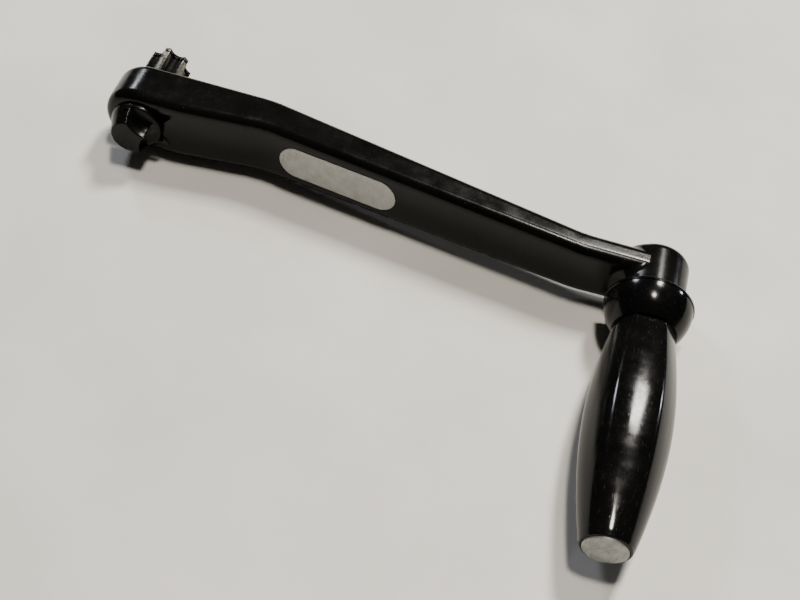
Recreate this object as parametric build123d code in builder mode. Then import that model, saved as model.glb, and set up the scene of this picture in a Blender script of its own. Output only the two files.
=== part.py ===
"""Winch crank handle: cranked arm with a six-point drive, a turn-to-lock knob and a free-spinning grip.

Frame: the origin is where the drive axis meets the drive shoulder. +X runs along the arm to the
grip axis, +Y points out along the drive, and +Z is up. Depths are measured from the drive shoulder
towards the grip, that is along -Y, and planes made with across(depth) face the same way.
"""

from math import cos, radians, sin
import os

from build123d import *

os.makedirs("parts", exist_ok=True)

# ---- Driving dimensions, in millimetres and degrees ----

crank_length = 250.0  # drive axis to grip axis

# Arm
head_radius = 17.0
arm_end_step = 0.8  # the boss stands this much proud of the arm's end
head_thickness = 23.6
seat_reach = 21.0  # flat seat for the knob, from the drive axis
bend_start = 60.0  # drive side of the arm leaves the shoulder plane here
boss_run = 35.0  # and is parallel to it again over this length, up to the grip axis
arm_offset = 28.6  # how far the drive side moves towards the grip
bend_thickness = 19.8
end_thickness = 13.0
bend_radius = 60.0
arm_edge_radius = 5.0

# Boss for the grip spindle
boss_radius = 15.0
boss_back_depth = 23.0
boss_face_depth = 48.0
boss_dome_radius = 5.0
boss_joint_radius = 5.0

# Drive
drive_points = 6
drive_radius = 10.2
drive_root_radius = 7.4
valley_radius = 4.4
drive_length = 17.8
drive_tip_chamfer = 0.8
drive_twist = 6.0  # first crest, turned from the Z axis

# Lock mechanism
lock_travel = 30.0  # turn of the knob from released to locked
lock_plate_thickness = 3.0
lock_plate_inset = 0.2  # the plate is this much smaller than the drive, all round
lock_plate_chamfer = 1.1
journal_radius = 3.0
tenon_width = 4.2
tenon_length = 1.6
drive_bush_wall = 1.4
drive_bush_length = 11.0
upper_journal_radius = 3.6
chamber_radius = 9.0
chamber_depth = 10.6
collar_radius = 8.6
collar_thickness = 2.4
stop_pin_radius = 1.2
stop_pin_seat = 5.0
stop_circle = 6.6  # carries the stop pin on one side and the detent on the other
detent_ball_radius = 1.5
detent_ball_rise = 0.4  # into its track in the collar
detent_well_depth = 6.0
detent_wire_radius = 0.25
detent_coil_radius = 1.1
detent_pitch = 0.95
detent_track_slack = 0.3
seal_radius = 0.6
seal_depth = 3.0  # below the face of the head
knob_washer_radius = 8.0
knob_washer_thickness = 0.8

# Knob
knob_end_radius = 8.8
knob_height = 10.0
knob_base_radius = 12.3
knob_skirt = 2.0
knob_thumb_radius = 12.0
knob_thumb_reach = 5.4  # from the axis to the middle of a thumb flat, at the end
knob_thumb_spread = 73.0  # from one thumb flat to the other
knob_turn = 18.0  # nose between the thumb flats, turned from the X axis
knob_edge_radius = 0.7
knob_bore_depth = 7.0
knob_pin_radius = 1.2
knob_pin_height = 3.4
knob_pin_length = 19.0

# Screw in the lock plate
screw_radius = 1.25
screw_head_radius = 2.6
screw_length = 7.0
screw_socket_radius = 0.9
screw_socket_depth = 1.0

# Name plate
plate_length = 59.0
plate_width = 17.5
plate_thickness = 0.6
plate_start = 9.5  # from the bend to the plate's end, along the arm
plate_chamfer = 0.2

# Grip
flange_radius = 20.0
flange_thickness = 2.0
flange_edge_radius = 1.0
neck_radius = 14.3
bell_length = 14.5
bell_bulge = 1.2
barrel_neck_radius = 12.0
barrel_overlap = 9.5  # the barrel starts this far inside the bell
belly_radius = 18.9
belly_share = 0.48  # of the way from the neck to the end
barrel_fullness = 0.9
barrel_sections = 8
facet_count = 6
facet_turn = 30.6
facet_crown = 0.45  # 0 is flat, 1 is round
end_crown = 0.9
facet_fade = 3.0
ridge_radius = 3.0
grip_length = 123.8
grip_end_radius = 10.7
grip_end_edge = 0.6

# Grip bearing
spindle_radius = 6.0
tail_radius = 5.0
rivet_flare = 1.8
spindle_head_radius = 9.3
spindle_head_thickness = 2.6
spindle_head_lip = 1.8  # depth of the head's seat below the end of the grip
spindle_head_dome = 0.7
dimple_radius = 2.4
dimple_depth = 0.5
thrust_washer_radius = 12.6
thrust_washer_thickness = 1.2
end_washer_thickness = 0.8
bush_wall = 2.2
bush_length = 16.0
grip_bore_radius = 7.2

# Clearances
running_fit = 0.05  # radial, between a journal and its bush
axial_play = 0.3
side_gap = 0.3

# ---- Frame and shared places ----

grip_axis = Axis((crank_length, 0, 0), (0, 1, 0))

bend_end = crank_length - boss_run
arm_end_radius = boss_radius - arm_end_step
chamber_floor = head_thickness - chamber_depth
collar_floor = chamber_floor + axial_play
collar_top = collar_floor + collar_thickness
cover_floor = collar_top + axial_play
drive_bore_radius = journal_radius + running_fit + drive_bush_wall
knob_seat = head_thickness + knob_washer_thickness + running_fit
spindle_top = knob_seat + knob_bore_depth
knob_end = knob_seat + knob_height
lock_plate_start = drive_length + axial_play
lock_plate_end = lock_plate_start + lock_plate_thickness
screw_cone = screw_head_radius - screw_radius
detent_ball_depth = collar_floor + detent_ball_rise - detent_ball_radius
detent_well_floor = chamber_floor - detent_well_depth

grip_face = boss_face_depth + thrust_washer_thickness + axial_play
grip_end = grip_face + grip_length
neck_depth = grip_face + flange_thickness + bell_length
barrel_start = neck_depth - barrel_overlap
barrel_length = grip_end - barrel_start
head_seat = grip_end - spindle_head_lip
head_rim = head_seat + spindle_head_thickness
end_washer_face = head_seat - end_washer_thickness
grip_recess = end_washer_face - axial_play
bush_outer_radius = spindle_radius + running_fit + bush_wall

pin_turn = radians(knob_turn + 90)
pin_plane = Plane(
    (0, -knob_seat - knob_pin_height, 0),
    z_dir=(cos(pin_turn), 0, sin(pin_turn)),
)


def across(depth):
    """Plane square to the two axes at this depth, facing the grip."""
    return Plane.XZ.offset(depth)


def drive_star(radius, root_radius):
    """Star profile of the drive: a disc with a round valley between each two points."""
    Circle(radius)
    with PolarLocations(
        root_radius + valley_radius,
        drive_points,
        start_angle=90 + drive_twist + 180 / drive_points,
    ):
        Circle(valley_radius, mode=Mode.SUBTRACT)


# ---- Crank arm: one casting with its head, bend, boss and drive ----

with BuildPart() as crank_arm:
    with BuildSketch(Plane.XY) as side_view:
        with BuildLine():
            drive_side = Polyline(
                (-head_radius, 0),
                (bend_start, 0),
                (bend_end, -arm_offset),
                (crank_length + arm_end_radius, -arm_offset),
            )
            grip_side = Polyline(
                drive_side @ 1,
                (crank_length + arm_end_radius, -arm_offset - end_thickness),
                (bend_end, -arm_offset - end_thickness),
                (bend_start, -bend_thickness),
                (seat_reach, -head_thickness),
                (-head_radius, -head_thickness),
                drive_side @ 0,
            )
        make_face()
        bends = side_view.vertices().filter_by(
            lambda v: seat_reach < v.X < crank_length - boss_radius
        )
        fillet(bends, bend_radius)
    extrude(amount=head_radius, both=True)
    with BuildSketch(Plane.XZ) as plan_view:
        Circle(head_radius)
        with Locations((crank_length, 0)):
            Circle(arm_end_radius)
        make_hull()
    extrude(amount=boss_face_depth, both=True, mode=Mode.INTERSECT)
    rim_edges = crank_arm.edges().filter_by(
        lambda e: abs(e.center().Z) > arm_end_radius / 2 or e.center().X < 0
    )
    fillet(
        rim_edges.filter_by(lambda e: abs(e.tangent_at(0.5).Y) < 0.5),
        arm_edge_radius,
    )
    with BuildSketch(across(boss_back_depth)):
        with Locations((crank_length, 0)):
            Circle(boss_radius)
    extrude(amount=boss_face_depth - boss_back_depth)
    boss_joint = crank_arm.edges(Select.LAST).filter_by(
        lambda e: -boss_face_depth + 1 < e.center().Y < -boss_back_depth - 1
    )
    fillet(boss_joint, boss_joint_radius)
    boss_back = crank_arm.edges().filter_by(GeomType.CIRCLE).filter_by(
        lambda e: abs(e.center().Y + boss_back_depth) < 0.01
    )
    fillet(boss_back, boss_dome_radius)
    # Drive, standing out from the shoulder
    with BuildSketch(across(0)):
        drive_star(drive_radius, drive_root_radius)
    extrude(amount=-drive_length)
    chamfer(
        crank_arm.faces().sort_by(Axis.Y)[-1].outer_wire().edges(),
        drive_tip_chamfer,
    )
    # Bore for the lock spindle and its bush
    with BuildSketch(across(-drive_length)):
        Circle(drive_bore_radius)
    extrude(amount=drive_bush_length, mode=Mode.SUBTRACT)
    with BuildSketch(across(-drive_length)):
        Circle(journal_radius + side_gap)
    extrude(amount=drive_length + head_thickness, mode=Mode.SUBTRACT)
    # Chamber for the collar, seat of the stop pin and well of the detent
    with BuildSketch(across(chamber_floor)):
        Circle(chamber_radius)
    extrude(amount=chamber_depth, mode=Mode.SUBTRACT)
    with BuildSketch(across(chamber_floor)):
        with Locations((stop_circle, 0)):
            Circle(stop_pin_radius)
    extrude(amount=-stop_pin_seat, mode=Mode.SUBTRACT)
    with BuildSketch(across(chamber_floor)):
        with Locations((-stop_circle, 0)):
            Circle(detent_ball_radius + running_fit)
    extrude(amount=-detent_well_depth, mode=Mode.SUBTRACT)
    # Hole for the riveted tail of the grip spindle
    with BuildSketch(across(boss_face_depth)):
        with Locations((crank_length, 0)):
            Circle(tail_radius)
    extrude(amount=boss_back_depth - boss_face_depth, mode=Mode.SUBTRACT)
    with BuildSketch(across(boss_back_depth)):
        with Locations((crank_length, 0)):
            Circle(tail_radius + rivet_flare)
    extrude(amount=rivet_flare, taper=45, mode=Mode.SUBTRACT)
crank_arm.part.label = "crank_arm"
export_step(crank_arm.part, "parts/crank_arm.step")

# ---- Name plate on the sloping face of the arm ----

plate_slope = (arm_offset + end_thickness - bend_thickness) / (bend_end - bend_start)
slope_direction = Vector(1, -plate_slope, 0).normalized()
plate_middle = Vector(bend_start, -bend_thickness, 0) + slope_direction * (
    plate_start + plate_length / 2
)
plate_plane = Plane(
    plate_middle,
    x_dir=slope_direction,
    z_dir=Vector(-plate_slope, -1, 0).normalized(),
)

with BuildPart() as name_plate:
    with BuildSketch(plate_plane):
        SlotOverall(plate_length, plate_width)
    extrude(amount=plate_thickness)
    chamfer(name_plate.faces().sort_by(Axis.Y)[0].edges(), plate_chamfer)
name_plate.part.label = "name_plate"
export_step(name_plate.part, "parts/name_plate.step")

# ---- Lock mechanism on the drive axis ----

with BuildPart() as drive_bush:
    with BuildSketch(across(-drive_length)):
        Circle(drive_bore_radius)
        Circle(journal_radius + running_fit, mode=Mode.SUBTRACT)
    extrude(amount=drive_bush_length)
drive_bush.part.label = "drive_bush"
export_step(drive_bush.part, "parts/drive_bush.step")

with BuildPart() as lock_spindle:
    with BuildSketch(across(-lock_plate_start - tenon_length)):
        Rectangle(tenon_width, tenon_width)
    extrude(amount=tenon_length)
    with BuildSketch(across(-lock_plate_start)):
        Circle(journal_radius)
    extrude(amount=lock_plate_start + collar_top)
    with BuildSketch(across(collar_floor)):
        Circle(collar_radius)
    extrude(amount=collar_thickness)
    with BuildSketch(across(collar_top)):
        Circle(upper_journal_radius)
    extrude(amount=spindle_top - collar_top)
    # Slot for the stop pin, which meets its ends at the two limits of travel
    with BuildSketch(across(collar_floor)):
        SlotArc(
            CenterArc((0, 0), stop_circle, 0, -lock_travel, mode=Mode.PRIVATE),
            2 * (stop_pin_radius + running_fit),
        )
    extrude(amount=collar_thickness, mode=Mode.SUBTRACT)
    # Track for the detent ball, opposite the stop pin
    with BuildSketch(across(collar_floor)):
        SlotArc(
            CenterArc((0, 0), stop_circle, 180, -lock_travel, mode=Mode.PRIVATE),
            2 * detent_ball_radius,
        )
    extrude(amount=detent_ball_rise + detent_track_slack, mode=Mode.SUBTRACT)
    # Groove for the seal
    with BuildSketch(across(head_thickness - seal_depth - seal_radius)):
        Circle(upper_journal_radius + running_fit)
        Circle(upper_journal_radius - 2 * seal_radius, mode=Mode.SUBTRACT)
    extrude(amount=2 * seal_radius, mode=Mode.SUBTRACT)
    # Tapped hole for the screw in the lock plate
    with BuildSketch(across(-lock_plate_end)):
        Circle(screw_radius)
    extrude(amount=screw_length, mode=Mode.SUBTRACT)
    # Hole for the pin that holds the knob
    with BuildSketch(pin_plane):
        Circle(knob_pin_radius)
    extrude(amount=knob_pin_length, both=True, mode=Mode.SUBTRACT)
lock_spindle.part.label = "lock_spindle"
export_step(lock_spindle.part, "parts/lock_spindle.step")

with BuildPart() as stop_pin:
    with BuildSketch(across(chamber_floor - stop_pin_seat)):
        with Locations((stop_circle, 0)):
            Circle(stop_pin_radius)
    extrude(amount=stop_pin_seat + axial_play + collar_thickness)
stop_pin.part.label = "stop_pin"
export_step(stop_pin.part, "parts/stop_pin.step")

with BuildPart() as detent_ball:
    with Locations((-stop_circle, -detent_ball_depth, 0)):
        Sphere(detent_ball_radius)
detent_ball.part.label = "detent_ball"
export_step(detent_ball.part, "parts/detent_ball.step")

detent_spring_start = detent_well_floor + detent_wire_radius
detent_spring_end = detent_ball_depth - detent_ball_radius - running_fit

with BuildPart() as detent_spring:
    with BuildLine():
        coil = Helix(
            pitch=detent_pitch,
            height=detent_spring_end - detent_spring_start,
            radius=detent_coil_radius,
            center=(-stop_circle, -detent_spring_start, 0),
            direction=(0, -1, 0),
        )
    with BuildSketch(Plane(coil @ 0, z_dir=coil % 0)):
        Circle(detent_wire_radius)
    sweep()
detent_spring.part.label = "detent_spring"
export_step(detent_spring.part, "parts/detent_spring.step")

with BuildPart() as chamber_cover:
    with BuildSketch(across(cover_floor)):
        Circle(chamber_radius)
        Circle(upper_journal_radius + running_fit, mode=Mode.SUBTRACT)
    extrude(amount=head_thickness - cover_floor)
chamber_cover.part.label = "chamber_cover"
export_step(chamber_cover.part, "parts/chamber_cover.step")

with BuildPart() as spindle_seal:
    with Locations(across(head_thickness - seal_depth)):
        Torus(upper_journal_radius - seal_radius, seal_radius)
spindle_seal.part.label = "spindle_seal"
export_step(spindle_seal.part, "parts/spindle_seal.step")

with BuildPart() as knob_washer:
    with BuildSketch(across(head_thickness)):
        Circle(knob_washer_radius)
        Circle(upper_journal_radius + side_gap, mode=Mode.SUBTRACT)
    extrude(amount=knob_washer_thickness)
knob_washer.part.label = "knob_washer"
export_step(knob_washer.part, "parts/knob_washer.step")

with BuildPart() as lock_knob:
    with BuildSketch(Plane.XY):
        with BuildLine():
            Polyline(
                (0, -knob_seat),
                (knob_base_radius, -knob_seat),
                (knob_base_radius, -knob_seat - knob_skirt / 2),
                (knob_end_radius, -knob_end),
                (0, -knob_end),
                close=True,
            )
        make_face()
    revolve(axis=Axis.Y)
    # Two thumb flats with a nose between them, above the skirt
    with BuildSketch(across(knob_seat + knob_skirt)):
        with PolarLocations(
            knob_thumb_reach + knob_thumb_radius,
            2,
            start_angle=knob_turn - knob_thumb_spread / 2,
            angular_range=2 * knob_thumb_spread,
        ):
            Circle(knob_thumb_radius)
    extrude(amount=knob_height, mode=Mode.SUBTRACT)
    fillet(lock_knob.faces().sort_by(Axis.Y)[0].edges(), knob_edge_radius)
    with BuildSketch(across(knob_seat)):
        Circle(upper_journal_radius)
    extrude(amount=knob_bore_depth, mode=Mode.SUBTRACT)
    with BuildSketch(pin_plane):
        Circle(knob_pin_radius)
    extrude(amount=knob_pin_length, both=True, mode=Mode.SUBTRACT)
lock_knob.part.label = "lock_knob"
export_step(lock_knob.part, "parts/lock_knob.step")

with BuildPart() as knob_pin:
    with BuildSketch(pin_plane):
        Circle(knob_pin_radius)
    extrude(amount=knob_pin_length / 2, both=True)
knob_pin.part.label = "knob_pin"
export_step(knob_pin.part, "parts/knob_pin.step")

with BuildPart() as lock_plate:
    with BuildSketch(across(-lock_plate_end)):
        drive_star(drive_radius - lock_plate_inset, drive_root_radius - lock_plate_inset)
    extrude(amount=lock_plate_thickness)
    chamfer(
        lock_plate.faces().sort_by(Axis.Y)[-1].outer_wire().edges(),
        lock_plate_chamfer,
    )
    with BuildSketch(across(-lock_plate_start)):
        Rectangle(tenon_width, tenon_width)
    extrude(amount=-tenon_length, mode=Mode.SUBTRACT)
    with BuildSketch(across(-lock_plate_end)):
        Circle(screw_head_radius)
    extrude(amount=screw_cone, taper=45, mode=Mode.SUBTRACT)
    with BuildSketch(across(-lock_plate_end)):
        Circle(screw_radius)
    extrude(amount=lock_plate_thickness, mode=Mode.SUBTRACT)
lock_plate.part.label = "lock_plate"
export_step(lock_plate.part, "parts/lock_plate.step")

with BuildPart() as lock_plate_screw:
    with BuildSketch(across(-lock_plate_end)):
        Circle(screw_head_radius)
    extrude(amount=screw_cone, taper=45)
    with BuildSketch(across(-lock_plate_end)):
        Circle(screw_radius)
    extrude(amount=screw_length)
    with BuildSketch(across(-lock_plate_end)):
        RegularPolygon(screw_socket_radius, 6)
    extrude(amount=screw_socket_depth, mode=Mode.SUBTRACT)
lock_plate_screw.part.label = "lock_plate_screw"
export_step(lock_plate_screw.part, "parts/lock_plate_screw.step")

# ---- Grip and its bearing on the grip axis ----

with BuildPart() as grip_spindle:
    with BuildSketch(Plane.XY):
        with BuildLine():
            shaft = Polyline(
                (crank_length, -boss_back_depth),
                (crank_length + tail_radius + rivet_flare, -boss_back_depth),
                (crank_length + tail_radius, -boss_back_depth - rivet_flare),
                (crank_length + tail_radius, -boss_face_depth),
                (crank_length + spindle_radius, -boss_face_depth),
                (crank_length + spindle_radius, -head_seat),
                (crank_length + spindle_head_radius, -head_seat),
                (crank_length + spindle_head_radius, -head_rim),
            )
            dome = ThreePointArc(
                shaft @ 1,
                (
                    crank_length + (spindle_head_radius + dimple_radius) / 2,
                    -head_rim - 0.7 * spindle_head_dome,
                ),
                (crank_length + dimple_radius, -head_rim - spindle_head_dome),
            )
            dimple = Line(
                dome @ 1,
                (crank_length, -head_rim - spindle_head_dome + dimple_depth),
            )
            Line(dimple @ 1, shaft @ 0)
        make_face()
    revolve(axis=grip_axis)
grip_spindle.part.label = "grip_spindle"
export_step(grip_spindle.part, "parts/grip_spindle.step")

with BuildPart() as thrust_washer:
    with BuildSketch(across(boss_face_depth)):
        with Locations((crank_length, 0)):
            Circle(thrust_washer_radius)
            Circle(spindle_radius + running_fit, mode=Mode.SUBTRACT)
    extrude(amount=thrust_washer_thickness)
thrust_washer.part.label = "thrust_washer"
export_step(thrust_washer.part, "parts/thrust_washer.step")

with BuildPart() as end_washer:
    with BuildSketch(across(end_washer_face)):
        with Locations((crank_length, 0)):
            Circle(spindle_head_radius - side_gap)
            Circle(spindle_radius + running_fit, mode=Mode.SUBTRACT)
    extrude(amount=end_washer_thickness)
end_washer.part.label = "end_washer"
export_step(end_washer.part, "parts/end_washer.step")


def barrel_radius(share):
    """Radius over the ridges at this share of the way from the neck to the end."""
    if share < belly_share:
        swell = sin(radians(90 * share / belly_share))
        return barrel_neck_radius + (belly_radius - barrel_neck_radius) * swell
    swell = cos(radians(90 * (share - belly_share) / (1 - belly_share)))
    return grip_end_radius + (belly_radius - grip_end_radius) * swell**barrel_fullness


def around_grip(radius, ridge):
    """Point at this radius around the grip axis, at the given ridge or share of a ridge."""
    turn = radians(facet_turn + ridge * 360 / facet_count)
    return Vector(crank_length + radius * cos(turn), radius * sin(turn))


def barrel_section(share):
    """Section of the barrel: crowned facets and round ridges, all tangent arcs.

    The crown of the facets grows along the barrel, so that it ends nearly round.
    """
    crest = barrel_radius(share)
    half_step = cos(radians(180 / facet_count))
    crown = facet_crown + (end_crown - facet_crown) * share**facet_fade
    middle = crest * (half_step + crown * (1 - half_step))
    ridge_center = crest - ridge_radius
    facet_radius = (
        middle**2 + ridge_center**2 - ridge_radius**2 - 2 * middle * ridge_center * half_step
    ) / (2 * (middle - ridge_center * half_step - ridge_radius))
    with BuildSketch(across(barrel_start + share * barrel_length)) as section:
        with BuildLine():
            for index in range(facet_count):
                facet_origin = around_grip(middle - facet_radius, index)
                before = around_grip(ridge_center, index - 0.5)
                after = around_grip(ridge_center, index + 0.5)
                next_origin = around_grip(middle - facet_radius, index + 1)
                starts = facet_origin + (before - facet_origin).normalized() * facet_radius
                ends = facet_origin + (after - facet_origin).normalized() * facet_radius
                resumes = next_origin + (after - next_origin).normalized() * facet_radius
                ThreePointArc(starts, around_grip(middle, index), ends)
                ThreePointArc(ends, around_grip(crest, index + 0.5), resumes)
        make_face()
    return section.sketch


with BuildPart() as grip:
    loft([barrel_section(index / (barrel_sections - 1)) for index in range(barrel_sections)])
    fillet(grip.faces().sort_by(Axis.Y)[0].edges(), grip_end_edge)
    # Bell in front of the boss
    with BuildSketch(Plane.XY):
        with BuildLine():
            rim = Polyline(
                (crank_length, -grip_face),
                (crank_length + flange_radius, -grip_face),
                (crank_length + flange_radius, -grip_face - flange_thickness),
            )
            bell = SagittaArc(
                rim @ 1, (crank_length + neck_radius, -neck_depth), bell_bulge
            )
            Polyline(bell @ 1, (crank_length, -neck_depth), rim @ 0)
        make_face()
    revolve(axis=grip_axis)
    rim_edges = grip.edges().filter_by(GeomType.CIRCLE).filter_by(
        lambda e: abs(e.radius - flange_radius) < 0.01
    )
    fillet(rim_edges, flange_edge_radius)
    # Bore, with a seat for a bush at each end and a recess for the spindle head
    with BuildSketch(across(grip_face)):
        with Locations((crank_length, 0)):
            Circle(grip_bore_radius)
    extrude(amount=grip_length, mode=Mode.SUBTRACT)
    with BuildSketch(across(grip_face)):
        with Locations((crank_length, 0)):
            Circle(bush_outer_radius)
    extrude(amount=bush_length, mode=Mode.SUBTRACT)
    with BuildSketch(across(grip_recess - bush_length)):
        with Locations((crank_length, 0)):
            Circle(bush_outer_radius)
    extrude(amount=bush_length, mode=Mode.SUBTRACT)
    with BuildSketch(across(grip_recess)):
        with Locations((crank_length, 0)):
            Circle(spindle_head_radius + side_gap)
    extrude(amount=grip_end - grip_recess, mode=Mode.SUBTRACT)
grip.part.label = "grip"
export_step(grip.part, "parts/grip.step")

with BuildPart() as inner_bush:
    with BuildSketch(across(grip_face)):
        with Locations((crank_length, 0)):
            Circle(bush_outer_radius)
            Circle(spindle_radius + running_fit, mode=Mode.SUBTRACT)
    extrude(amount=bush_length)
inner_bush.part.label = "inner_bush"
export_step(inner_bush.part, "parts/inner_bush.step")

with BuildPart() as outer_bush:
    with BuildSketch(across(grip_recess - bush_length)):
        with Locations((crank_length, 0)):
            Circle(bush_outer_radius)
            Circle(spindle_radius + running_fit, mode=Mode.SUBTRACT)
    extrude(amount=bush_length)
outer_bush.part.label = "outer_bush"
export_step(outer_bush.part, "parts/outer_bush.step")
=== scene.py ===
"""Scene of a winch crank handle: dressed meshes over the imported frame, a pale table and soft light.

Sizes are in millimetres in the class fields and become metres in the meshes. The frame is the row
frame: X runs along the arm, Y out along the drive, Z is up as the handle lies.
"""

import logging
import math
from dataclasses import dataclass, field
from enum import Enum
from typing import Any, Callable, Optional

import bmesh
import bpy
from mathutils import Matrix, Vector


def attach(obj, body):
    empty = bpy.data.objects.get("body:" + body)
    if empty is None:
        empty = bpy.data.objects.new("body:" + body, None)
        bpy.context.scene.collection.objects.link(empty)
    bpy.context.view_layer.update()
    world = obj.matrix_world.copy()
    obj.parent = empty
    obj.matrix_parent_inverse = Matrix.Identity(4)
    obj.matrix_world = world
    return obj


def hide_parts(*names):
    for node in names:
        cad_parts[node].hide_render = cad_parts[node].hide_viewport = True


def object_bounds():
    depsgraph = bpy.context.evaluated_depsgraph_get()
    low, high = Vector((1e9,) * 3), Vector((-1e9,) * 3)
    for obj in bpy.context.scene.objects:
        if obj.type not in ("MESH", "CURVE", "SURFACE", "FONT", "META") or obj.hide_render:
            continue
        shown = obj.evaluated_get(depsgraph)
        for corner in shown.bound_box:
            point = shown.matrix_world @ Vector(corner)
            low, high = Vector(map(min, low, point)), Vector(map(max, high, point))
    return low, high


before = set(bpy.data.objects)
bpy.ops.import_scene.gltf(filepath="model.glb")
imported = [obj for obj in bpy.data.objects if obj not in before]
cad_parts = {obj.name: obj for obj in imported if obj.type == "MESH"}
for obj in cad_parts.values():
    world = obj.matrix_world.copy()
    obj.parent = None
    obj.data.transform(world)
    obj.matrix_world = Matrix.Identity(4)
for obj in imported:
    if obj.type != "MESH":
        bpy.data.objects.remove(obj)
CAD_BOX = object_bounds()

MM = 0.001
log = logging.getLogger("crank_handle")

Tree = bpy.types.NodeTree
Node = bpy.types.Node
Socket = bpy.types.NodeSocket


class Body(Enum):
    """The rigid bodies that pieces ride on."""

    ARM = "arm"
    LOCK = "lock"
    GRIP = "grip"


# ---------------------------------------------------------------- colours and nodes


def linear(hex_colour: str) -> tuple[float, float, float, float]:
    """Turns an sRGB hex colour into linear RGBA.

    Args:
        hex_colour: Six hex digits with a leading hash, such as "#c8c8c3".

    Returns:
        The colour as four linear numbers, opaque.
    """
    channels = [int(hex_colour[i : i + 2], 16) / 255 for i in (1, 3, 5)]
    light = [c / 12.92 if c <= 0.04045 else ((c + 0.055) / 1.055) ** 2.4 for c in channels]
    return (light[0], light[1], light[2], 1.0)


def per_metre(feature_mm: float) -> float:
    """Texture scale on coordinates in metres for features of this size in millimetres."""
    return 1.0 / (feature_mm * MM)


def add(
    tree: Tree,
    kind: str,
    inputs: Optional[dict[Any, Any]] = None,
    **settings: Any,
) -> Node:
    """Adds a shader node with its settings and links.

    Args:
        tree: The node tree that gets the node.
        kind: The node's type name, such as "ShaderNodeTexNoise".
        inputs: Input name or number to a value, or to an output socket to link from.
        **settings: Attributes of the node, such as operation="MULTIPLY".

    Returns:
        The new node.
    """
    node = tree.nodes.new(kind)
    for name, value in settings.items():
        setattr(node, name, value)
    for key, value in (inputs or {}).items():
        if isinstance(value, Socket):
            tree.links.new(value, node.inputs[key])
        else:
            node.inputs[key].default_value = value
    return node


def shade(tree: Tree, value: Socket, stops: list[tuple[float, Any]]) -> Socket:
    """Maps a value through a colour ramp.

    Args:
        tree: The node tree.
        value: The socket to map.
        stops: Position and either a grey level or a hex colour, from low to high.

    Returns:
        The ramp's colour output.
    """
    ramp = add(tree, "ShaderNodeValToRGB", {"Fac": value})
    elements = ramp.color_ramp.elements
    while len(elements) < len(stops):
        elements.new(0.5)
    for element, (position, level) in zip(elements, stops):
        element.position = position
        grey = (level, level, level, 1.0) if isinstance(level, (int, float)) else linear(level)
        element.color = grey
    return ramp.outputs["Color"]


def mix_colours(tree: Tree, factor: Socket, below: Any, above: Any) -> Socket:
    """Mixes two colours by a factor.

    Args:
        tree: The node tree.
        factor: How much of the second colour shows.
        below: First colour, as a socket or four numbers.
        above: Second colour, as a socket or four numbers.

    Returns:
        The mixed colour.
    """
    node = add(tree, "ShaderNodeMix", {0: factor, 6: below, 7: above}, data_type="RGBA")
    return node.outputs[2]


def combine(tree: Tree, operation: str, a: Any, b: Any, clamp: bool = False) -> Socket:
    """Joins two numbers with a math operation.

    Args:
        tree: The node tree.
        operation: Blender's name of the operation, such as "MULTIPLY".
        a: First number or socket.
        b: Second number or socket.
        clamp: Whether the result stays between 0 and 1.

    Returns:
        The result.
    """
    node = add(tree, "ShaderNodeMath", {0: a, 1: b}, operation=operation, use_clamp=clamp)
    return node.outputs[0]


# ---------------------------------------------------------------- finishes


@dataclass(frozen=True)
class Finish:
    """What every finish has: a name, a slot name and typical shader constants."""

    name: str
    slot: str
    roughness: float = 0.4
    metallic: float = 0.0
    ior: float = 1.5
    specular: float = 0.5

    def material(self) -> bpy.types.Material:
        """Builds the material, or finds it if it was built before.

        Returns:
            The material, with its shader linked.
        """
        known = bpy.data.materials.get(self.name)
        if known:
            return known
        material = bpy.data.materials.new(self.name)
        material.use_nodes = True
        tree = material.node_tree
        tree.nodes.clear()
        shader = add(
            tree,
            "ShaderNodeBsdfPrincipled",
            {"Metallic": self.metallic, "Roughness": self.roughness},
        )
        if not self.metallic:
            shader.inputs["IOR"].default_value = self.ior
            shader.inputs["Specular IOR Level"].default_value = self.specular
        add(tree, "ShaderNodeOutputMaterial", {"Surface": shader.outputs[0]})
        place = add(tree, "ShaderNodeTexCoord").outputs["Object"]
        self.paint(tree, shader, place)
        return material

    def paint(self, tree: Tree, shader: Node, place: Socket) -> None:
        """Adds the colour, roughness and relief of this finish; each finish has its own.

        Args:
            tree: The material's node tree.
            shader: Its Principled shader.
            place: Coordinates in metres, in the row frame.
        """
        raise NotImplementedError

    def noise(
        self,
        tree: Tree,
        place: Socket,
        feature_mm: float,
        detail: float = 3.0,
        roughness: float = 0.5,
    ) -> Socket:
        """Noise whose blotches have a real size.

        Args:
            tree: The node tree.
            place: Coordinates in metres.
            feature_mm: Size of a blotch in millimetres.
            detail: Octaves of finer noise.
            roughness: Strength of the finer octaves.

        Returns:
            The noise value, around 0.5.
        """
        node = add(
            tree,
            "ShaderNodeTexNoise",
            {
                "Vector": place,
                "Scale": per_metre(feature_mm),
                "Detail": detail,
                "Roughness": roughness,
            },
        )
        return node.outputs["Fac"]

    def scratches(
        self,
        tree: Tree,
        place: Socket,
        turn: tuple[float, float, float],
        length_mm: float,
        width_mm: float,
        amount: float,
    ) -> Socket:
        """Fine scratches that lie one way.

        Args:
            tree: The node tree.
            place: Coordinates in metres.
            turn: Rotation of the scratches, in radians.
            length_mm: Typical length.
            width_mm: Typical width.
            amount: Share of the surface that they cover, from 0 to 1.

        Returns:
            1 in a scratch and 0 beside it.
        """
        mapping = add(
            tree,
            "ShaderNodeMapping",
            {
                "Vector": place,
                "Rotation": turn,
                "Scale": (1.0, width_mm / length_mm * 3, width_mm / length_mm),
            },
        )
        streaks = self.noise(tree, mapping.outputs[0], width_mm, 1.5, 0.4)
        edge = 0.74 - 0.16 * amount
        return shade(tree, streaks, [(edge, 0.0), (edge + 0.02, 1.0)])


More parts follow.
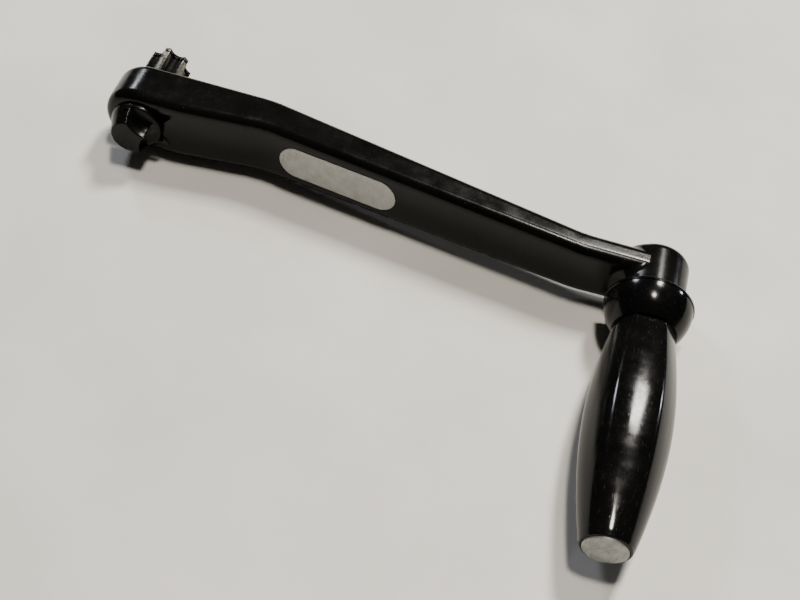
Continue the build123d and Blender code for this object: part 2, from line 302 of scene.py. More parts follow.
@dataclass(frozen=True)
class GlossEnamel(Finish):
    """Black stoving enamel on an alloy casting.

    It is sprayed and baked, so it is glossy with a faint orange peel, holds a little dust, and is
    rubbed through to bare bronze-grey metal on the crests of the drive.
    """

    deep_colour: str = "#060606"
    colour: str = "#0d0d0c"
    dust_colour: str = "#5e5c55"
    oxide_colour: str = "#38362f"
    bare_colour: str = "#a7a49a"
    peel_mm: float = 1.3
    peel_height_mm: float = 0.012
    worn_step: float = 2.0
    crest_radius_mm: float = 10.15
    crest_width_mm: float = 0.35
    crest_wander_mm: float = 0.9
    drive_reach_mm: float = 10.6
    drive_root_mm: float = 0.8

    def paint(self, tree: Tree, shader: Node, place: Socket) -> None:
        """Enamel with dust, and metal where the drive is worn.

        Args:
            tree: The material's node tree.
            shader: Its Principled shader.
            place: Coordinates in metres, in the row frame.
        """
        tone = self.noise(tree, place, 28.0, 2.0)
        film = shade(tree, tone, [(0.3, self.deep_colour), (0.7, self.colour)])
        specks = self.noise(tree, place, 0.55, 2.0, 0.6)
        patches = self.noise(tree, place, 17.0, 3.0, 0.6)
        grains = shade(tree, specks, [(0.69, 0.0), (0.74, 1.0)])
        where = shade(tree, patches, [(0.42, 0.0), (0.66, 0.8)])
        dust = combine(tree, "MULTIPLY", grains, where)
        dusty = mix_colours(tree, dust, film, linear(self.dust_colour))
        worn = self.worn_crests(tree, place)
        metal_tone = self.noise(tree, place, 1.6, 4.0, 0.7)
        metal = shade(tree, metal_tone, [(0.36, self.oxide_colour), (0.68, self.bare_colour)])
        colour = mix_colours(tree, worn, dusty, metal)
        tree.links.new(colour, shader.inputs["Base Color"])
        tree.links.new(worn, shader.inputs["Metallic"])
        haze = self.noise(tree, place, 9.0, 4.0, 0.65)
        gloss = shade(tree, haze, [(0.35, self.roughness), (0.75, self.roughness + 0.13)])
        dulled = combine(tree, "ADD", gloss, combine(tree, "MULTIPLY", dust, 0.4))
        rough = combine(tree, "ADD", dulled, combine(tree, "MULTIPLY", worn, 0.22), True)
        tree.links.new(rough, shader.inputs["Roughness"])
        peel = self.noise(tree, place, self.peel_mm, 1.0)
        rubbed = combine(tree, "MULTIPLY", worn, self.worn_step)
        relief = combine(tree, "SUBTRACT", peel, rubbed)
        bump = add(
            tree,
            "ShaderNodeBump",
            {"Height": relief, "Distance": self.peel_height_mm * MM, "Strength": 0.8},
        )
        tree.links.new(bump.outputs[0], shader.inputs["Normal"])

    def worn_crests(self, tree: Tree, place: Socket) -> Socket:
        """Where the drive's crests are rubbed bare, by distance from the drive axis, Y.

        Args:
            tree: The material's node tree.
            place: Coordinates in metres, in the row frame.

        Returns:
            1 on bare metal and 0 on sound enamel.
        """
        parts = add(tree, "ShaderNodeSeparateXYZ", {0: place})
        across = add(tree, "ShaderNodeCombineXYZ", {0: parts.outputs[0], 2: parts.outputs[2]})
        reach = add(tree, "ShaderNodeVectorMath", {0: across.outputs[0]}, operation="LENGTH")
        ragged = self.noise(tree, place, 1.1, 4.0, 0.7)
        centred = combine(tree, "SUBTRACT", ragged, 0.5)
        wander = combine(tree, "MULTIPLY", centred, self.crest_wander_mm * MM)
        radius = combine(tree, "ADD", reach.outputs["Value"], wander)
        start = (self.crest_radius_mm - self.crest_width_mm) * MM
        low = combine(tree, "SUBTRACT", radius, start)
        crest = combine(tree, "DIVIDE", low, self.crest_width_mm * MM, True)
        inside = combine(tree, "LESS_THAN", reach.outputs["Value"], self.drive_reach_mm * MM)
        outward = combine(tree, "GREATER_THAN", parts.outputs[1], self.drive_root_mm * MM)
        return combine(tree, "MULTIPLY", combine(tree, "MULTIPLY", crest, inside), outward)


@dataclass(frozen=True)
class MouldedGloss(Finish):
    """Gloss black phenolic or nylon, moulded in a polished tool.

    The skin is smoother than paint. Hands leave a faint haze, hairline scratches and a few
    pale specks of dust.
    """

    colour: str = "#060607"
    hazed_colour: str = "#0c0c0b"
    dust_colour: str = "#6a675f"
    hairline_turn: tuple[float, float, float] = (0.0, 0.0, 0.3)
    waver_mm: float = 6.0
    waver_height_mm: float = 0.03

    def paint(self, tree: Tree, shader: Node, place: Socket) -> None:
        """Moulded skin with haze, hairlines and specks.

        Args:
            tree: The material's node tree.
            shader: Its Principled shader.
            place: Coordinates in metres, in the row frame.
        """
        tone = self.noise(tree, place, 22.0, 2.0)
        skin = shade(tree, tone, [(0.3, self.colour), (0.7, self.hazed_colour)])
        specks = self.noise(tree, place, 0.5, 2.0, 0.6)
        grains = shade(tree, specks, [(0.735, 0.0), (0.77, 0.7)])
        hairlines = self.scratches(tree, place, self.hairline_turn, 9.0, 0.25, 0.25)
        faint = combine(tree, "MULTIPLY", hairlines, 0.12)
        marks = combine(tree, "ADD", grains, faint, True)
        colour = mix_colours(tree, marks, skin, linear(self.dust_colour))
        tree.links.new(colour, shader.inputs["Base Color"])
        haze = self.noise(tree, place, 7.0, 4.0, 0.6)
        gloss = shade(tree, haze, [(0.35, self.roughness), (0.75, self.roughness + 0.12)])
        rough = combine(tree, "ADD", gloss, combine(tree, "MULTIPLY", marks, 0.3), True)
        tree.links.new(rough, shader.inputs["Roughness"])
        waver = self.noise(tree, place, self.waver_mm, 1.0)
        relief = combine(tree, "SUBTRACT", waver, combine(tree, "MULTIPLY", hairlines, 0.15))
        bump = add(
            tree,
            "ShaderNodeBump",
            {"Height": relief, "Distance": self.waver_height_mm * MM, "Strength": 0.6},
        )
        tree.links.new(bump.outputs[0], shader.inputs["Normal"])


@dataclass(frozen=True)
class SatinSheet(Finish):
    """Satin anodised aluminium sheet of the plate, with handling scratches at its end."""

    colour: str = "#c6c6c2"
    shadow_colour: str = "#aeada8"
    scratch_colour: str = "#4a4945"
    scuffed_end_mm: float = 80.0
    scuffed_reach_mm: float = 11.0
    grain_mm: float = 0.35
    grain_height_mm: float = 0.008

    def paint(self, tree: Tree, shader: Node, place: Socket) -> None:
        """Fine grain along the plate, stains, and scratches that gather at one end.

        Args:
            tree: The material's node tree.
            shader: Its Principled shader.
            place: Coordinates in metres, in the row frame.
        """
        grain_place = add(
            tree, "ShaderNodeMapping", {"Vector": place, "Scale": (0.04, 1.0, 1.0)}
        )
        grain = self.noise(tree, grain_place.outputs[0], self.grain_mm, 3.0, 0.6)
        stains = self.noise(tree, place, 5.0, 4.0, 0.65)
        body = shade(tree, stains, [(0.25, self.shadow_colour), (0.62, self.colour)])
        ends = add(tree, "ShaderNodeSeparateXYZ", {0: place})
        towards = combine(tree, "SUBTRACT", self.scuffed_end_mm * MM, ends.outputs[0])
        near_end = combine(tree, "DIVIDE", towards, self.scuffed_reach_mm * MM, True)
        first = self.scratches(tree, place, (0.0, 0.6, 0.0), 6.0, 0.3, 0.55)
        second = self.scratches(tree, place, (0.0, -0.9, 0.0), 5.0, 0.25, 0.45)
        crossed = combine(tree, "MAXIMUM", first, second)
        scuffs = combine(tree, "MULTIPLY", crossed, combine(tree, "ADD", near_end, 0.12, True))
        colour = mix_colours(tree, scuffs, body, linear(self.scratch_colour))
        tree.links.new(colour, shader.inputs["Base Color"])
        rough = shade(tree, grain, [(0.3, self.roughness - 0.06), (0.7, self.roughness + 0.1)])
        tree.links.new(rough, shader.inputs["Roughness"])
        relief = combine(tree, "SUBTRACT", grain, combine(tree, "MULTIPLY", scuffs, 1.5))
        bump = add(
            tree,
            "ShaderNodeBump",
            {"Height": relief, "Distance": self.grain_height_mm * MM, "Strength": 0.7},
        )
        tree.links.new(bump.outputs[0], shader.inputs["Normal"])


@dataclass(frozen=True)
class TurnedMetal(Finish):
    """Turned metal: rings from the tool about one axis, then dulled and scratched in use."""

    colour: str = "#b9bab6"
    shadow_colour: str = "#8f8f8a"
    center_x_mm: float = 0.0
    ring_mm: float = 0.5
    scratch_colour: str = "#3f3e3a"
    scratch_amount: float = 0.35
    ring_height_mm: float = 0.01

    def paint(self, tree: Tree, shader: Node, place: Socket) -> None:
        """Rings, oxide blotches and scratches.

        Args:
            tree: The material's node tree.
            shader: Its Principled shader.
            place: Coordinates in metres, in the row frame.
        """
        centred = add(
            tree, "ShaderNodeMapping", {"Vector": place, "Location": (-self.center_x_mm * MM, 0, 0)}
        )
        parts = add(tree, "ShaderNodeSeparateXYZ", {0: centred.outputs[0]})
        flat = add(tree, "ShaderNodeCombineXYZ", {0: parts.outputs[0], 2: parts.outputs[2]})
        reach = add(tree, "ShaderNodeVectorMath", {0: flat.outputs[0]}, operation="LENGTH")
        turns = combine(tree, "MULTIPLY", reach.outputs["Value"], math.tau / (self.ring_mm * MM))
        rings = combine(tree, "SINE", turns, 0.0)
        blotches = self.noise(tree, place, 3.2, 5.0, 0.7)
        body = shade(tree, blotches, [(0.3, self.shadow_colour), (0.66, self.colour)])
        first = self.scratches(tree, place, (0.0, 0.5, 0.0), 7.0, 0.3, self.scratch_amount)
        second = self.scratches(tree, place, (0.0, -1.1, 0.0), 5.0, 0.3, self.scratch_amount)
        marks = combine(tree, "MAXIMUM", first, second)
        faint = combine(tree, "MULTIPLY", marks, 0.6)
        colour = mix_colours(tree, faint, body, linear(self.scratch_colour))
        tree.links.new(colour, shader.inputs["Base Color"])
        rough = shade(tree, blotches, [(0.3, self.roughness + 0.12), (0.7, self.roughness)])
        tree.links.new(rough, shader.inputs["Roughness"])
        relief = combine(tree, "SUBTRACT", combine(tree, "MULTIPLY", rings, 0.35), marks)
        bump = add(
            tree,
            "ShaderNodeBump",
            {"Height": relief, "Distance": self.ring_height_mm * MM, "Strength": 0.6},
        )
        tree.links.new(bump.outputs[0], shader.inputs["Normal"])


@dataclass(frozen=True)
class PlainPolymer(Finish):
    """Turned or moulded acetal, or nitrile rubber: even colour with a fine satin skin."""

    colour: str = "#c9c4b4"
    shadow_colour: str = "#aaa595"
    grain_mm: float = 0.4
    grain_height_mm: float = 0.01

    def paint(self, tree: Tree, shader: Node, place: Socket) -> None:
        """A soft tone variation and a fine grain.

        Args:
            tree: The material's node tree.
            shader: Its Principled shader.
            place: Coordinates in metres, in the row frame.
        """
        tone = self.noise(tree, place, 6.0, 3.0)
        colour = shade(tree, tone, [(0.3, self.shadow_colour), (0.7, self.colour)])
        tree.links.new(colour, shader.inputs["Base Color"])
        grain = self.noise(tree, place, self.grain_mm, 2.0)
        rough = shade(tree, grain, [(0.3, self.roughness), (0.7, self.roughness + 0.1)])
        tree.links.new(rough, shader.inputs["Roughness"])
        bump = add(
            tree,
            "ShaderNodeBump",
            {"Height": grain, "Distance": self.grain_height_mm * MM, "Strength": 0.5},
        )
        tree.links.new(bump.outputs[0], shader.inputs["Normal"])


@dataclass(frozen=True)
class TableTop(Finish):
    """Pale laminate table: plain warm grey with a soft mottle."""

    colour: str = "#dddcd6"
    shadow_colour: str = "#d2d1ca"
    mottle_mm: float = 90.0
    texture_mm: float = 1.4
    texture_height_mm: float = 0.05

    def paint(self, tree: Tree, shader: Node, place: Socket) -> None:
        """Mottle at the scale of a hand, and a fine texture.

        Args:
            tree: The material's node tree.
            shader: Its Principled shader.
            place: Coordinates in metres, in the row frame.
        """
        mottle = self.noise(tree, place, self.mottle_mm, 4.0, 0.55)
        colour = shade(tree, mottle, [(0.35, self.shadow_colour), (0.65, self.colour)])
        tree.links.new(colour, shader.inputs["Base Color"])
        texture = self.noise(tree, place, self.texture_mm, 3.0, 0.6)
        bump = add(
            tree,
            "ShaderNodeBump",
            {"Height": texture, "Distance": self.texture_height_mm * MM, "Strength": 0.35},
        )
        tree.links.new(bump.outputs[0], shader.inputs["Normal"])


ENAMEL = GlossEnamel(
    "black_stoving_enamel", "black_enamel", roughness=0.15, ior=1.38, specular=0.3
)
POINT_ENAMEL = GlossEnamel(
    "black_enamelled_steel", "black_steel", roughness=0.2, ior=1.38, specular=0.3
)
KNOB_GLOSS = MouldedGloss(
    "black_moulded_knob", "black_knob", roughness=0.2, ior=1.38, specular=0.25
)
GRIP_GLOSS = MouldedGloss(
    "black_moulded_grip", "black_grip", roughness=0.1, ior=1.38, specular=0.35
)
PLATE = SatinSheet("satin_anodised_plate", "plate_metal", roughness=0.46, metallic=0.25)
ALLOY = TurnedMetal(
    "dulled_turned_aluminium", "dull_alloy", roughness=0.42, metallic=0.6, center_x_mm=250.0
)
STEEL = TurnedMetal(
    "turned_stainless_steel", "steel", roughness=0.3, metallic=1.0, colour="#a9a9a6",
    shadow_colour="#7c7c79",
)
BRONZE = TurnedMetal(
    "turned_bronze", "bronze", roughness=0.35, metallic=1.0, colour="#a9814f",
    shadow_colour="#7a5a34", center_x_mm=250.0,
)
NATURAL_ACETAL = PlainPolymer("natural_acetal", "bush_plastic", roughness=0.4)
BLACK_ACETAL = PlainPolymer(
    "black_acetal", "washer_plastic", roughness=0.4, colour="#1c1c1b", shadow_colour="#121212"
)
COVER_ACETAL = PlainPolymer(
    "black_acetal_cover", "cover_plastic", roughness=0.38, colour="#1a1a1a",
    shadow_colour="#101010",
)
NITRILE = PlainPolymer(
    "nitrile_rubber", "seal_rubber", roughness=0.6, colour="#1a1a19", shadow_colour="#101010"
)
TABLE = TableTop("pale_laminate_table", "", roughness=0.55)


# ---------------------------------------------------------------- mesh helpers


def around(axis_x_mm: float, radius_mm: float, depth_mm: float) -> tuple[float, float, float]:
    """Point in metres at a radius from an axis along Y and a depth towards the grip."""
    return ((axis_x_mm + radius_mm) * MM, -depth_mm * MM, 0.0)


def arc_points(
    start: tuple[float, float], end: tuple[float, float], bulge: float, count: int
) -> list[tuple[float, float]]:
    """Points of a shallow arc between two ends, without its start.

    Args:
        start: First end, radius and depth.
        end: Last end, radius and depth.
        bulge: Height of the arc over its chord, to the left of the way from start to end.
        count: How many points.

    Returns:
        The points, the last of them at the end.
    """
    across = Vector(end) - Vector(start)
    side = Vector((-across.y, across.x)).normalized()
    points = []
    for index in range(1, count + 1):
        t = index / count
        point = Vector(start) + across * t + side * (4 * bulge * t * (1 - t))
        points.append((point.x, point.y))
    return points


def turned(
    profile: list[tuple[float, float]], axis_x_mm: float, segments: int, closed: bool
) -> bmesh.types.BMesh:
    """Spins a profile about an axis along Y.

    Args:
        profile: Radius and depth of each point, in millimetres.
        axis_x_mm: X of the axis.
        segments: Steps in the full turn.
        closed: Whether the last point joins the first.

    Returns:
        The turned surface, with normals pointing out.
    """
    mesh = bmesh.new()
    verts = [mesh.verts.new(around(axis_x_mm, radius, depth)) for radius, depth in profile]
    edges = [mesh.edges.new(pair) for pair in zip(verts, verts[1:])]
    if closed:
        edges.append(mesh.edges.new((verts[-1], verts[0])))
    bmesh.ops.spin(
        mesh,
        geom=verts + edges,
        cent=(axis_x_mm * MM, 0, 0),
        axis=(0, 1, 0),
        angle=math.tau,
        steps=segments,
        use_merge=True,
    )
    bmesh.ops.remove_doubles(mesh, verts=mesh.verts, dist=0.002 * MM)
    bmesh.ops.recalc_face_normals(mesh, faces=mesh.faces)
    return mesh


def piece(
    name: str,
    mesh: bmesh.types.BMesh,
    body: Body,
    finish: Finish,
    replaced: tuple[str, ...] = (),
    sharp_angle: float = 32.0,
) -> bpy.types.Object:
    """Makes a finished piece from a bmesh and hangs it on its body.

    Args:
        name: Name of the piece.
        mesh: Its shape, in metres in the row frame; it is freed.
        body: The body that carries it.
        finish: Its finish.
        replaced: CAD nodes that it stands for.
        sharp_angle: Edges that turn by more than this many degrees stay crisp.

    Returns:
        The object.
    """
    data = bpy.data.meshes.new(name)
    mesh.to_mesh(data)
    mesh.free()
    for polygon in data.polygons:
        polygon.use_smooth = True
    data.set_sharp_from_angle(angle=math.radians(sharp_angle))
    obj = bpy.data.objects.new(name, data)
    bpy.context.scene.collection.objects.link(obj)
    data.materials.append(finish.material())
    weights = obj.modifiers.new("even_shading", "WEIGHTED_NORMAL")
    weights.keep_sharp = True
    weights.weight = 60
    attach(obj, body.value)
    if replaced:
        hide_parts(*replaced)
    log.info("piece %s: %d faces", name, len(data.polygons))
    return obj


def merged_copy(node: str) -> bmesh.types.BMesh:
    """Copies a CAD node's mesh and merges its loose triangles.

    Args:
        node: Name of the CAD node.

    Returns:
        The copy, which is left where the node is.
    """
    mesh = bmesh.new()
    mesh.from_mesh(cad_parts[node].data)
    bmesh.ops.remove_doubles(mesh, verts=mesh.verts, dist=0.0005 * MM)
    return mesh


def dress(node: str, finish: Finish) -> None:
    """Gives a CAD node its finish.

    Args:
        node: Name of the CAD node.
        finish: The finish it gets.
    """
    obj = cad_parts[node]
    obj.data.materials.clear()
    obj.data.materials.append(finish.material())
    log.info("dressed %s with %s", node, finish.name)


# ---------------------------------------------------------------- sub-assemblies


@dataclass
class CrankArm:
    """The cranked casting with its head, boss and drive, and the plate on its face."""

    plate_length: float = 59.0
    plate_width: float = 17.5
    plate_height: float = 0.6
    plate_middle: tuple[float, float] = (98.6, -25.22)
    plate_slope: float = 8.0
    plate_rim: float = 1.1
    plate_groove: float = 0.12
    plate_groove_width: float = 0.3
    plate_corner: float = 0.22
    plate_segments: int = 48

    def build(self) -> None:
        """Builds the casting and its plate."""
        piece(
            "arm_casting", merged_copy("crank_arm"), Body.ARM, ENAMEL, ("crank_arm",), 40.0
        )
        piece("plate_blank", self.plate(), Body.ARM, PLATE, ("name_plate",), 50.0)

    def plate(self) -> bmesh.types.BMesh:
        """The bare plate: a stadium with a rounded edge and a fine line round its rim.

        Returns:
            The plate's mesh, on the sloping face of the arm.
        """
        mesh = bmesh.new()
        radius = self.plate_width / 2
        reach = self.plate_length / 2 - radius
        made = bmesh.ops.create_circle(
            mesh, cap_ends=True, radius=radius * MM, segments=self.plate_segments
        )
        for vert in made["verts"]:
            vert.co.x += math.copysign(reach * MM, vert.co.x)
        mesh.faces.ensure_lookup_table()
        face = mesh.faces[0]
        top = bmesh.ops.extrude_face_region(mesh, geom=[face])
        raised = [g for g in top["geom"] if isinstance(g, bmesh.types.BMVert)]
        bmesh.ops.translate(mesh, verts=raised, vec=(0, 0, self.plate_height * MM))
        lid = [g for g in top["geom"] if isinstance(g, bmesh.types.BMFace)][0]
        bmesh.ops.bevel(
            mesh,
            geom=list(lid.edges),
            offset=self.plate_corner * MM,
            offset_type="OFFSET",
            segments=3,
            profile=0.5,
            affect="EDGES",
            material=-1,
        )
        lid = max(mesh.faces, key=lambda f: f.calc_center_median().z)
        bmesh.ops.inset_region(mesh, faces=[lid], thickness=self.plate_rim * MM, depth=0.0)
        for depth in (-self.plate_groove, self.plate_groove):
            bmesh.ops.inset_region(
                mesh, faces=[lid], thickness=self.plate_groove_width * MM, depth=depth * MM
            )
        bmesh.ops.recalc_face_normals(mesh, faces=mesh.faces)
        stand = Matrix.Rotation(math.radians(90), 4, "X")
        slope = Matrix.Rotation(-math.radians(self.plate_slope), 4, "Z")
        x, y = self.plate_middle
        place = Matrix.Translation((x * MM, y * MM, 0)) @ slope @ stand
        bmesh.ops.transform(mesh, matrix=place, verts=mesh.verts)
        return mesh


@dataclass
class LockMechanism:
    """The knob, its spindle through the head, and the plate at the end of the drive."""

    steel_nodes: tuple[str, ...] = (
        "lock_spindle",
        "stop_pin",
        "detent_ball",
        "detent_spring",
        "knob_pin",
        "lock_plate_screw",
    )

    def build(self) -> None:
        """Builds the visible pieces and dresses the hidden ones."""
        piece("turn_knob", merged_copy("lock_knob"), Body.LOCK, KNOB_GLOSS, ("lock_knob",), 40.0)
        piece(
            "drive_end",
            merged_copy("lock_plate"),
            Body.LOCK,
            POINT_ENAMEL,
            ("lock_plate",),
            40.0,
        )
        for node in self.steel_nodes:
            dress(node, STEEL)
        dress("drive_bush", NATURAL_ACETAL)
        dress("chamber_cover", COVER_ACETAL)
        dress("knob_washer", BLACK_ACETAL)
        dress("spindle_seal", NITRILE)


@dataclass
class Grip:
    """The moulded grip: a bell in front of the boss and a barrel with six crowned facets."""

    axis_x: float = 250.0
    face_depth: float = 49.5
    end_depth: float = 173.3
    flange_radius: float = 20.0
    rim_round: float = 1.0
    rim_depth: float = 2.0
    lip_step: float = 0.35
    bell_length: float = 14.5
    bell_bulge: float = 1.2
    neck_radius: float = 14.3
    barrel_radius: float = 12.0
    belly_radius: float = 18.9
    belly_share: float = 0.48
    fullness: float = 0.9
    barrel_overlap: float = 9.5
    end_radius: float = 10.7
    end_round: float = 0.6
    bore_radius: float = 8.25
    recess_radius: float = 9.6
    recess_depth: float = 2.9
    facets: int = 6
    facet_turn: float = 30.6
    crown: float = 0.45
    end_crown: float = 0.9
    ridge_softness: float = 0.09
    bore_lip: float = 4.0
    face_inset: float = 4.0
    lip_drop: float = 0.3
    lip_rise: float = 0.1
    crease_gap: float = 0.05
    facet_gap: float = 0.02
    recess_margin: float = 0.05
    segments: int = 180
    stations: int = 72
    rim_steps: int = 8
    bell_steps: int = 22
    end_steps: int = 5

    def build(self) -> None:
        """Builds the grip."""
        piece("grip_body", self.body(), Body.GRIP, GRIP_GLOSS, ("grip",), 26.0)
        dress("inner_bush", NATURAL_ACETAL)
        dress("outer_bush", NATURAL_ACETAL)

    def barrel_start(self) -> float:
        """Depth at which the barrel starts, inside the bell."""
        return self.face_depth + self.rim_depth + self.bell_length - self.barrel_overlap

    def share(self, depth: float) -> float:
        """How far along the barrel a depth is, from 0 to 1."""
        start = self.barrel_start()
        return min(max((depth - start) / (self.end_depth - start), 0.0), 1.0)

    def ridge_reach(self, share: float) -> float:
        """Radius over the ridges.

        Args:
            share: How far along the barrel.

        Returns:
            The radius in millimetres.
        """
        if share < self.belly_share:
            swell = math.sin(math.pi / 2 * share / self.belly_share)
            return self.barrel_radius + (self.belly_radius - self.barrel_radius) * swell
        swell = math.cos(math.pi / 2 * (share - self.belly_share) / (1 - self.belly_share))
        drop = max(swell, 0.0) ** self.fullness
        return self.end_radius + (self.belly_radius - self.end_radius) * drop

    def facet_factor(self, turn: float, share: float) -> float:
        """How much the section is drawn in at an angle by its facets.

        Args:
            turn: Angle round the axis in radians.
            share: How far along the barrel.

        Returns:
            1 on a ridge and less between two ridges.
        """
        half = math.pi / self.facets
        from_middle = (turn - math.radians(self.facet_turn) + half) % (2 * half) - half
        from_ridge = half - abs(from_middle)
        softened = half - (math.hypot(from_ridge, self.ridge_softness) - self.ridge_softness * 0.6)
        flat = math.cos(half) / math.cos(min(abs(softened), half))
        crown = self.crown + (self.end_crown - self.crown) * share**3
        return crown + (1 - crown) * flat

    def profile(self) -> list[tuple[float, float]]:
        """Section of the grip, from the bore at the bell round to the recess at the end.

        Returns:
            Radius and depth of each point.
        """
        face, rim = self.face_depth, self.rim_round
        points = [(self.bore_radius, face + self.bore_lip), (self.bore_radius, face)]
        points.append((self.flange_radius - self.face_inset, face))
        points.append((self.flange_radius - rim, face))
        for step in range(1, self.rim_steps + 1):
            turn = math.pi / 2 * step / self.rim_steps
            points.append(
                (
                    self.flange_radius - rim + rim * math.sin(turn),
                    face + rim - rim * math.cos(turn),
                )
            )
        points.append((self.flange_radius, face + self.rim_depth - self.lip_drop))
        lip_radius = self.flange_radius - self.lip_step
        shoulder = (lip_radius, face + self.rim_depth + self.lip_rise)
        points.append(shoulder)
        neck = (self.neck_radius, face + self.rim_depth + self.bell_length)
        points += arc_points(shoulder, neck, -self.bell_bulge, self.bell_steps)
        crease = self.share(neck[1] + self.crease_gap)
        for step in range(self.stations + 1):
            share = crease + (1 - crease) * step / self.stations
            depth = self.barrel_start() + share * (self.end_depth - self.barrel_start())
            points.append((self.ridge_reach(share), min(depth, self.end_depth - self.end_round)))
        points = [p for i, p in enumerate(points) if i == 0 or p != points[i - 1]]
        for step in range(1, self.end_steps + 1):
            turn = math.pi / 2 * step / self.end_steps
            points.append(
                (
                    self.end_radius - self.end_round + self.end_round * math.cos(turn),
                    self.end_depth - self.end_round + self.end_round * math.sin(turn),
                )
            )
        points.append((self.recess_radius, self.end_depth))
        points.append((self.recess_radius, self.end_depth - self.recess_depth))
        points.append((self.bore_radius, self.end_depth - self.recess_depth))
        return points

    def body(self) -> bmesh.types.BMesh:
        """Turns the section, then draws the barrel in between its ridges.

        Returns:
            The grip's mesh.
        """
        mesh = turned(self.profile(), self.axis_x, self.segments, closed=True)
        neck = self.face_depth + self.rim_depth + self.bell_length + self.facet_gap
        inner_reach = (self.recess_radius + self.recess_margin) * MM
        for vert in mesh.verts:
            across = Vector((vert.co.x - self.axis_x * MM, vert.co.z))
            depth = -vert.co.y / MM
            if depth < neck or across.length < inner_reach:
                continue
            factor = self.facet_factor(math.atan2(across.y, across.x), self.share(depth))
            vert.co.x = self.axis_x * MM + across.x * factor
            vert.co.z = across.y * factor
        bmesh.ops.recalc_face_normals(mesh, faces=mesh.faces)
        return mesh


@dataclass
class GripBearing:
    """What the grip turns on: the spindle, whose head closes the end, and two washers."""

    axis_x: float = 250.0
    head_radius: float = 9.3
    seat_depth: float = 171.5
    rim_depth: float = 174.1
    dome: float = 0.7
    dimple_radius: float = 2.4
    dimple_depth: float = 0.5
    corner: float = 0.35
    shaft_radius: float = 6.0
    shaft_start: float = 48.0
    tail_radius: float = 5.0
    tail_flare: float = 1.8
    tail_depth: float = 23.0
    corner_bulge: float = 0.08
    dome_bulge: float = 0.22
    dimple_bulge: float = 0.12
    segments: int = 128

    def build(self) -> None:
        """Builds the spindle and dresses the washers."""
        piece("spindle", self.spindle(), Body.ARM, ALLOY, ("grip_spindle",), 35.0)
        dress("thrust_washer", BRONZE)
        dress("end_washer", BRONZE)

    def spindle(self) -> bmesh.types.BMesh:
        """The spindle with its riveted tail, its shaft and its domed head with a centre mark.

        Returns:
            The spindle's mesh.
        """
        tip = self.rim_depth + self.dome
        points = [
            (0.0, self.tail_depth),
            (self.tail_radius + self.tail_flare, self.tail_depth),
            (self.tail_radius, self.tail_depth + self.tail_flare),
            (self.tail_radius, self.shaft_start),
            (self.shaft_radius, self.shaft_start),
            (self.shaft_radius, self.seat_depth),
            (self.head_radius, self.seat_depth),
            (self.head_radius, self.rim_depth - self.corner),
        ]
        rim = (self.head_radius - self.corner, self.rim_depth)
        points += arc_points(points[-1], rim, -self.corner_bulge, 4)
        points += arc_points(points[-1], (self.dimple_radius, tip), -self.dome_bulge, 18)
        points += arc_points(points[-1], (0.0, tip - self.dimple_depth), self.dimple_bulge, 8)
        return turned(points, self.axis_x, self.segments, closed=False)


# ---------------------------------------------------------------- studio


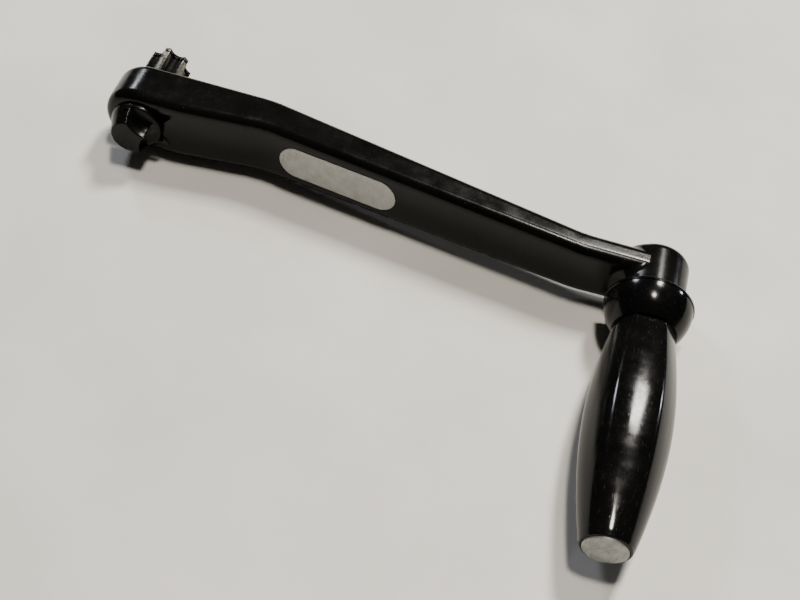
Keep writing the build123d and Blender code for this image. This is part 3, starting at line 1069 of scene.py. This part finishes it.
@dataclass
class Studio:
    """The table, the lights and the camera."""

    table_size: float = 6000.0
    table_drop: float = 0.02
    camera_target: tuple[float, float, float] = (144.63, -83.89, 0.0)
    camera_azimuth: float = 7.26
    camera_elevation: float = 51.83
    camera_roll: float = 9.78
    camera_distance: float = 534.4
    focal_share: float = 1237.87 / 800
    sensor_mm: float = 36.0
    clip_near: float = 10.0
    clip_far: float = 20000.0
    room_glow: float = 1.0
    floor_glow_colour: str = "#1c1b1a"
    side_glow_colour: str = "#2c2b29"
    top_glow_colour: str = "#3a3937"
    lamps: list[tuple[str, tuple[float, float, float], float, float, float, str]] = field(
        default_factory=lambda: [
            ("main_lamp", (550.0, 1190.0, 1890.0), 320.0, 520.0, 62.0, "#fffaf2"),
            ("left_window", (-1010.0, 1090.0, 1030.0), 240.0, 300.0, 11.0, "#f3f6ff"),
            ("right_window", (1740.0, 1080.0, 590.0), 110.0, 130.0, 5.0, "#f3f6ff"),
            ("overhead_lamp", (230.0, 60.0, 2200.0), 260.0, 260.0, 34.0, "#fff6ea"),
        ]
    )

    def build(self) -> None:
        """Builds the table, the lights and the camera."""
        self.table()
        for lamp in self.lamps:
            self.lamp(*lamp)
        self.sky()
        self.camera()

    def table(self) -> None:
        """A wide plain table just under the lowest point of the handle."""
        mesh = bmesh.new()
        bmesh.ops.create_grid(mesh, x_segments=1, y_segments=1, size=self.table_size / 2 * MM)
        data = bpy.data.meshes.new("table_top")
        mesh.to_mesh(data)
        mesh.free()
        data.materials.append(TABLE.material())
        obj = bpy.data.objects.new("table_top", data)
        obj.location.z = CAD_BOX[0].z - self.table_drop * MM
        bpy.context.scene.collection.objects.link(obj)

    def lamp(
        self,
        name: str,
        place: tuple[float, float, float],
        width: float,
        height: float,
        power: float,
        colour: str,
    ) -> None:
        """Adds an area light that faces the handle.

        Args:
            name: Name of the light.
            place: Where it hangs, in millimetres.
            width: Width in millimetres.
            height: Height in millimetres.
            power: Power in watts.
            colour: Its hex colour.
        """
        data = bpy.data.lights.new(name, "AREA")
        data.shape = "RECTANGLE"
        data.size = width * MM
        data.size_y = height * MM
        data.energy = power
        data.color = linear(colour)[:3]
        obj = bpy.data.objects.new(name, data)
        obj.location = Vector(place) * MM
        middle = Vector(self.camera_target) * MM
        obj.rotation_euler = (middle - obj.location).to_track_quat("-Z", "Y").to_euler()
        bpy.context.scene.collection.objects.link(obj)

    def sky(self) -> None:
        """A soft room: lighter overhead, darker towards the floor."""
        world = bpy.data.worlds.new("soft_room")
        bpy.context.scene.world = world
        world.use_nodes = True
        tree = world.node_tree
        tree.nodes.clear()
        look = add(tree, "ShaderNodeTexCoord").outputs["Generated"]
        height = add(tree, "ShaderNodeSeparateXYZ", {0: look}).outputs[2]
        stops = [
            (0.0, self.floor_glow_colour),
            (0.45, self.side_glow_colour),
            (1.0, self.top_glow_colour),
        ]
        glow = shade(tree, height, stops)
        back = add(tree, "ShaderNodeBackground", {"Color": glow, "Strength": self.room_glow})
        add(tree, "ShaderNodeOutputWorld", {"Surface": back.outputs[0]})

    def camera(self) -> None:
        """The camera, aimed from its azimuth, elevation and roll about the target."""
        az = math.radians(self.camera_azimuth)
        el = math.radians(self.camera_elevation)
        roll = math.radians(self.camera_roll)
        forward = Vector(
            (-math.sin(az) * math.cos(el), math.cos(az) * math.cos(el), -math.sin(el))
        )
        right = Vector((math.cos(az), math.sin(az), 0.0))
        up = right.cross(forward)
        rolled_right = right * math.cos(roll) + up * math.sin(roll)
        rolled_up = up * math.cos(roll) - right * math.sin(roll)
        turn = Matrix((rolled_right, rolled_up, -forward)).transposed().to_4x4()
        place = Vector(self.camera_target) * MM - forward * (self.camera_distance * MM)
        data = bpy.data.cameras.new("camera")
        data.sensor_width = self.sensor_mm
        data.lens = self.focal_share * self.sensor_mm
        data.clip_start = self.clip_near * MM
        data.clip_end = self.clip_far * MM
        obj = bpy.data.objects.new("camera", data)
        obj.matrix_world = Matrix.Translation(place) @ turn
        bpy.context.scene.collection.objects.link(obj)
        bpy.context.scene.camera = obj


def main() -> None:
    """Builds the handle and its studio in order."""
    logging.basicConfig(level=logging.INFO, format="%(name)s %(message)s")
    steps: list[Callable[[], None]] = [
        CrankArm().build,
        LockMechanism().build,
        Grip().build,
        GripBearing().build,
        Studio().build,
    ]
    for step in steps:
        step()


if __name__ == "__main__":
    main()
